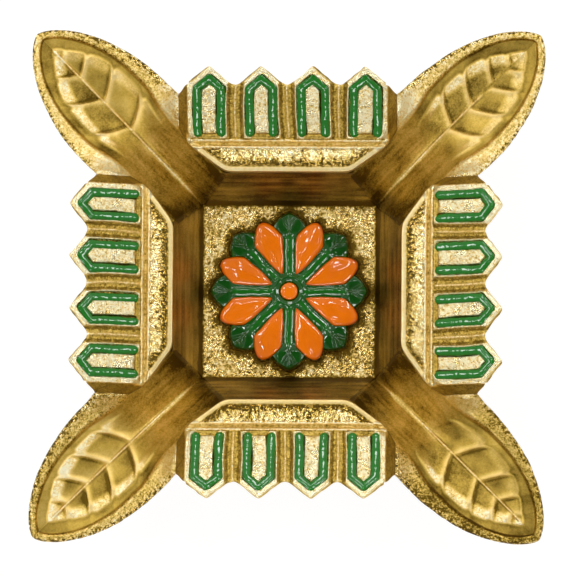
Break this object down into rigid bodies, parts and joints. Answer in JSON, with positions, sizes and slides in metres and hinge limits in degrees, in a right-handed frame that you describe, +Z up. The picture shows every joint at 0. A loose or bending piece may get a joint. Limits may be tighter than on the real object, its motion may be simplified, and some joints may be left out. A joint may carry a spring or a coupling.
{
  "type": "square oil lamp",
  "caption": "Square cast brass oil lamp for aarti, with leaf shaped wick spouts at the corners, fluted side crests and an enamel rosette in the well.",
  "frame": {"origin": "middle of the flat base, where the lamp stands", "axes": "+Z up out of the well, +Y towards the north crest, +X towards the east crest; the leaf spouts lie on the diagonals"},
  "size_m": [0.0918, 0.0918, 0.0247],
  "materials": {
    "cast_brass": "bright cast brass, satin in the troughs and sand grained on rims, shoulders and floor",
    "green_enamel": "glossy hand laid green enamel",
    "orange_enamel": "glossy hand laid orange enamel"
  },
  "bodies": {
    "root": {"well_cup": "cast_brass", "leaf_spout_ne": "cast_brass", "leaf_spout_se": "cast_brass", "leaf_spout_sw": "cast_brass", "leaf_spout_nw": "cast_brass", "crest_north": "cast_brass", "crest_east": "cast_brass", "crest_south": "cast_brass", "crest_west": "cast_brass", "rosette_green": "green_enamel", "lancet_inlay_north_1": "green_enamel", "lancet_inlay_north_2": "green_enamel", "lancet_inlay_north_3": "green_enamel", "lancet_inlay_north_4": "green_enamel", "lancet_inlay_east_1": "green_enamel", "lancet_inlay_east_2": "green_enamel", "lancet_inlay_east_3": "green_enamel", "lancet_inlay_east_4": "green_enamel", "lancet_inlay_south_1": "green_enamel", "lancet_inlay_south_2": "green_enamel", "lancet_inlay_south_3": "green_enamel", "lancet_inlay_south_4": "green_enamel", "lancet_inlay_west_1": "green_enamel", "lancet_inlay_west_2": "green_enamel", "lancet_inlay_west_3": "green_enamel", "lancet_inlay_west_4": "green_enamel", "orange_petal_1": "orange_enamel", "orange_petal_2": "orange_enamel", "orange_petal_3": "orange_enamel", "orange_petal_4": "orange_enamel", "orange_petal_5": "orange_enamel", "orange_petal_6": "orange_enamel", "orange_petal_7": "orange_enamel", "orange_petal_8": "orange_enamel", "centre_dot": "orange_enamel"}
  },
  "joints": []
}
